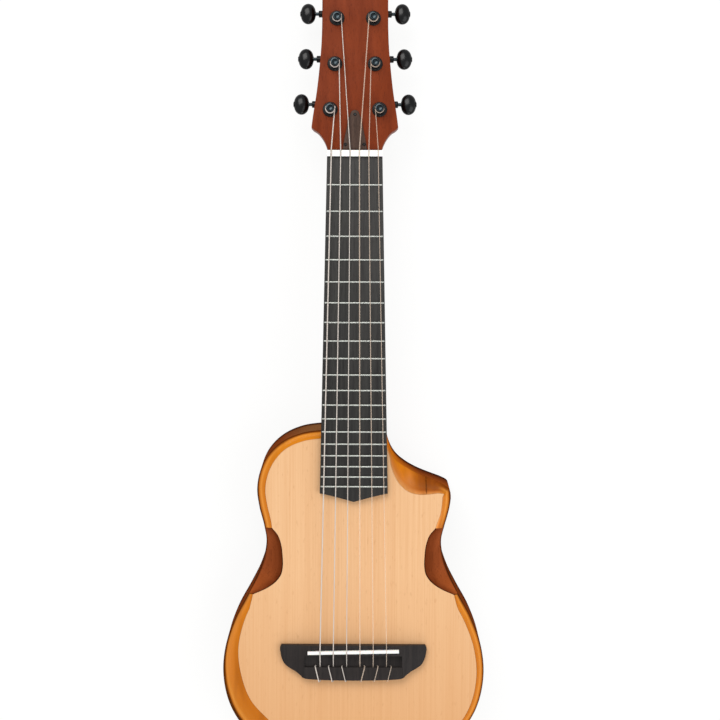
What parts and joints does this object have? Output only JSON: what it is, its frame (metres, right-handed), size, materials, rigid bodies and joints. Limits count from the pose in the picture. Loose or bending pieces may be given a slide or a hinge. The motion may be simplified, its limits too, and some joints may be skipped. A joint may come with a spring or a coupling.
{
  "type": "guitalele",
  "caption": "Small nylon string guitar with a cutaway body, scooped sound ports at the waist, bevelled armrest, tie bridge and geared tuning machines",
  "frame": {"origin": "the middle of the back plate's flat outer face, at half of the body's length on the centre line", "axes": "+Y from the body to the head, +X to the treble side, +Z out of the soundboard"},
  "size_m": [0.2314, 0.7013, 0.0775],
  "materials": {
    "spruce": "pale spruce, satin clear varnish",
    "amber": "amber stained wood, glossy varnish",
    "mahogany": "reddish brown mahogany, glossy varnish",
    "blockwood": "bare light wood",
    "ebony": "dark fingerboard wood, fine open grain",
    "rosewood": "dark brown wood, satin",
    "bone": "white bone, polished",
    "black_metal": "glossy black plating",
    "dark_chrome": "dark polished chrome",
    "steel": "plain steel",
    "knob_black": "glossy black plastic",
    "nylon": "clear nylon",
    "wound": "silvery winding over a nylon core"
  },
  "bodies": {
    "instrument": {"soundboard": "spruce", "top_bracing": "spruce", "back_bracing": "spruce", "edge_bass_upper": "amber", "edge_lower": "amber", "edge_horn": "amber", "edge_cutaway": "amber", "back_plate": "mahogany", "side_bass": "mahogany", "side_treble": "mahogany", "port_block_bass": "mahogany", "port_block_treble": "mahogany", "neck": "mahogany", "neck_block": "blockwood", "tail_block": "blockwood", "top_lining_upper": "blockwood", "top_lining_lower": "blockwood", "back_lining": "blockwood", "fingerboard": "ebony", "bridge": "ebony", "truss_rod_cover": "rosewood", "nut": "bone", "saddle": "bone", "truss_rod": "steel", "string_1": "nylon", "tuner_housing_1": "black_metal", "tuner_bushing_1": "black_metal", "string_2": "nylon", "tuner_housing_2": "black_metal", "tuner_bushing_2": "black_metal", "string_3": "nylon", "tuner_housing_3": "black_metal", "tuner_bushing_3": "black_metal", "string_4": "wound", "tuner_housing_4": "black_metal", "tuner_bushing_4": "black_metal", "string_5": "wound", "tuner_housing_5": "black_metal", "tuner_bushing_5": "black_metal", "string_6": "wound", "tuner_housing_6": "black_metal", "tuner_bushing_6": "black_metal"},
    "knob_1": {"tuner_shaft_1": "dark_chrome", "tuner_knob_1": "knob_black"},
    "post_1": {"tuner_post_1": "dark_chrome"},
    "knob_2": {"tuner_shaft_2": "dark_chrome", "tuner_knob_2": "knob_black"},
    "post_2": {"tuner_post_2": "dark_chrome"},
    "knob_3": {"tuner_shaft_3": "dark_chrome", "tuner_knob_3": "knob_black"},
    "post_3": {"tuner_post_3": "dark_chrome"},
    "knob_4": {"tuner_shaft_4": "dark_chrome", "tuner_knob_4": "knob_black"},
    "post_4": {"tuner_post_4": "dark_chrome"},
    "knob_5": {"tuner_shaft_5": "dark_chrome", "tuner_knob_5": "knob_black"},
    "post_5": {"tuner_post_5": "dark_chrome"},
    "knob_6": {"tuner_shaft_6": "dark_chrome", "tuner_knob_6": "knob_black"},
    "post_6": {"tuner_post_6": "dark_chrome"}
  },
  "joints": [
    {"name": "knob_1_turn", "type": "hinge", "parent": "instrument", "child": "knob_1", "pos_m": [0.0214, 0.44005, 0.04121], "axis": [1, 0, 0], "continuous": true},
    {"name": "post_1_turn", "type": "hinge", "parent": "instrument", "child": "post_1", "pos_m": [0.0214, 0.43253, 0.04233], "axis": [0, 0.1478, 0.989], "continuous": true},
    {"name": "knob_2_turn", "type": "hinge", "parent": "instrument", "child": "knob_2", "pos_m": [0.0175, 0.47961, 0.03529], "axis": [1, 0, 0], "continuous": true},
    {"name": "post_2_turn", "type": "hinge", "parent": "instrument", "child": "post_2", "pos_m": [0.0175, 0.47209, 0.03642], "axis": [0, 0.1478, 0.989], "continuous": true},
    {"name": "knob_3_turn", "type": "hinge", "parent": "instrument", "child": "knob_3", "pos_m": [0.0158, 0.51917, 0.02938], "axis": [1, 0, 0], "continuous": true},
    {"name": "post_3_turn", "type": "hinge", "parent": "instrument", "child": "post_3", "pos_m": [0.0158, 0.51165, 0.03051], "axis": [0, 0.1478, 0.989], "continuous": true},
    {"name": "knob_4_turn", "type": "hinge", "parent": "instrument", "child": "knob_4", "pos_m": [-0.0158, 0.51917, 0.02938], "axis": [1, 0, 0], "continuous": true},
    {"name": "post_4_turn", "type": "hinge", "parent": "instrument", "child": "post_4", "pos_m": [-0.0158, 0.51165, 0.03051], "axis": [0, 0.1478, 0.989], "continuous": true},
    {"name": "knob_5_turn", "type": "hinge", "parent": "instrument", "child": "knob_5", "pos_m": [-0.0175, 0.47961, 0.03529], "axis": [1, 0, 0], "continuous": true},
    {"name": "post_5_turn", "type": "hinge", "parent": "instrument", "child": "post_5", "pos_m": [-0.0175, 0.47209, 0.03642], "axis": [0, 0.1478, 0.989], "continuous": true},
    {"name": "knob_6_turn", "type": "hinge", "parent": "instrument", "child": "knob_6", "pos_m": [-0.0214, 0.44005, 0.04121], "axis": [1, 0, 0], "continuous": true},
    {"name": "post_6_turn", "type": "hinge", "parent": "instrument", "child": "post_6", "pos_m": [-0.0214, 0.43253, 0.04233], "axis": [0, 0.1478, 0.989], "continuous": true}
  ],
  "couplings": [
    {"joint": "post_1_turn", "follows": "knob_1_turn", "ratio": 0.071429},
    {"joint": "post_2_turn", "follows": "knob_2_turn", "ratio": 0.071429},
    {"joint": "post_3_turn", "follows": "knob_3_turn", "ratio": 0.071429},
    {"joint": "post_4_turn", "follows": "knob_4_turn", "ratio": -0.071429},
    {"joint": "post_5_turn", "follows": "knob_5_turn", "ratio": -0.071429},
    {"joint": "post_6_turn", "follows": "knob_6_turn", "ratio": -0.071429}
  ]
}
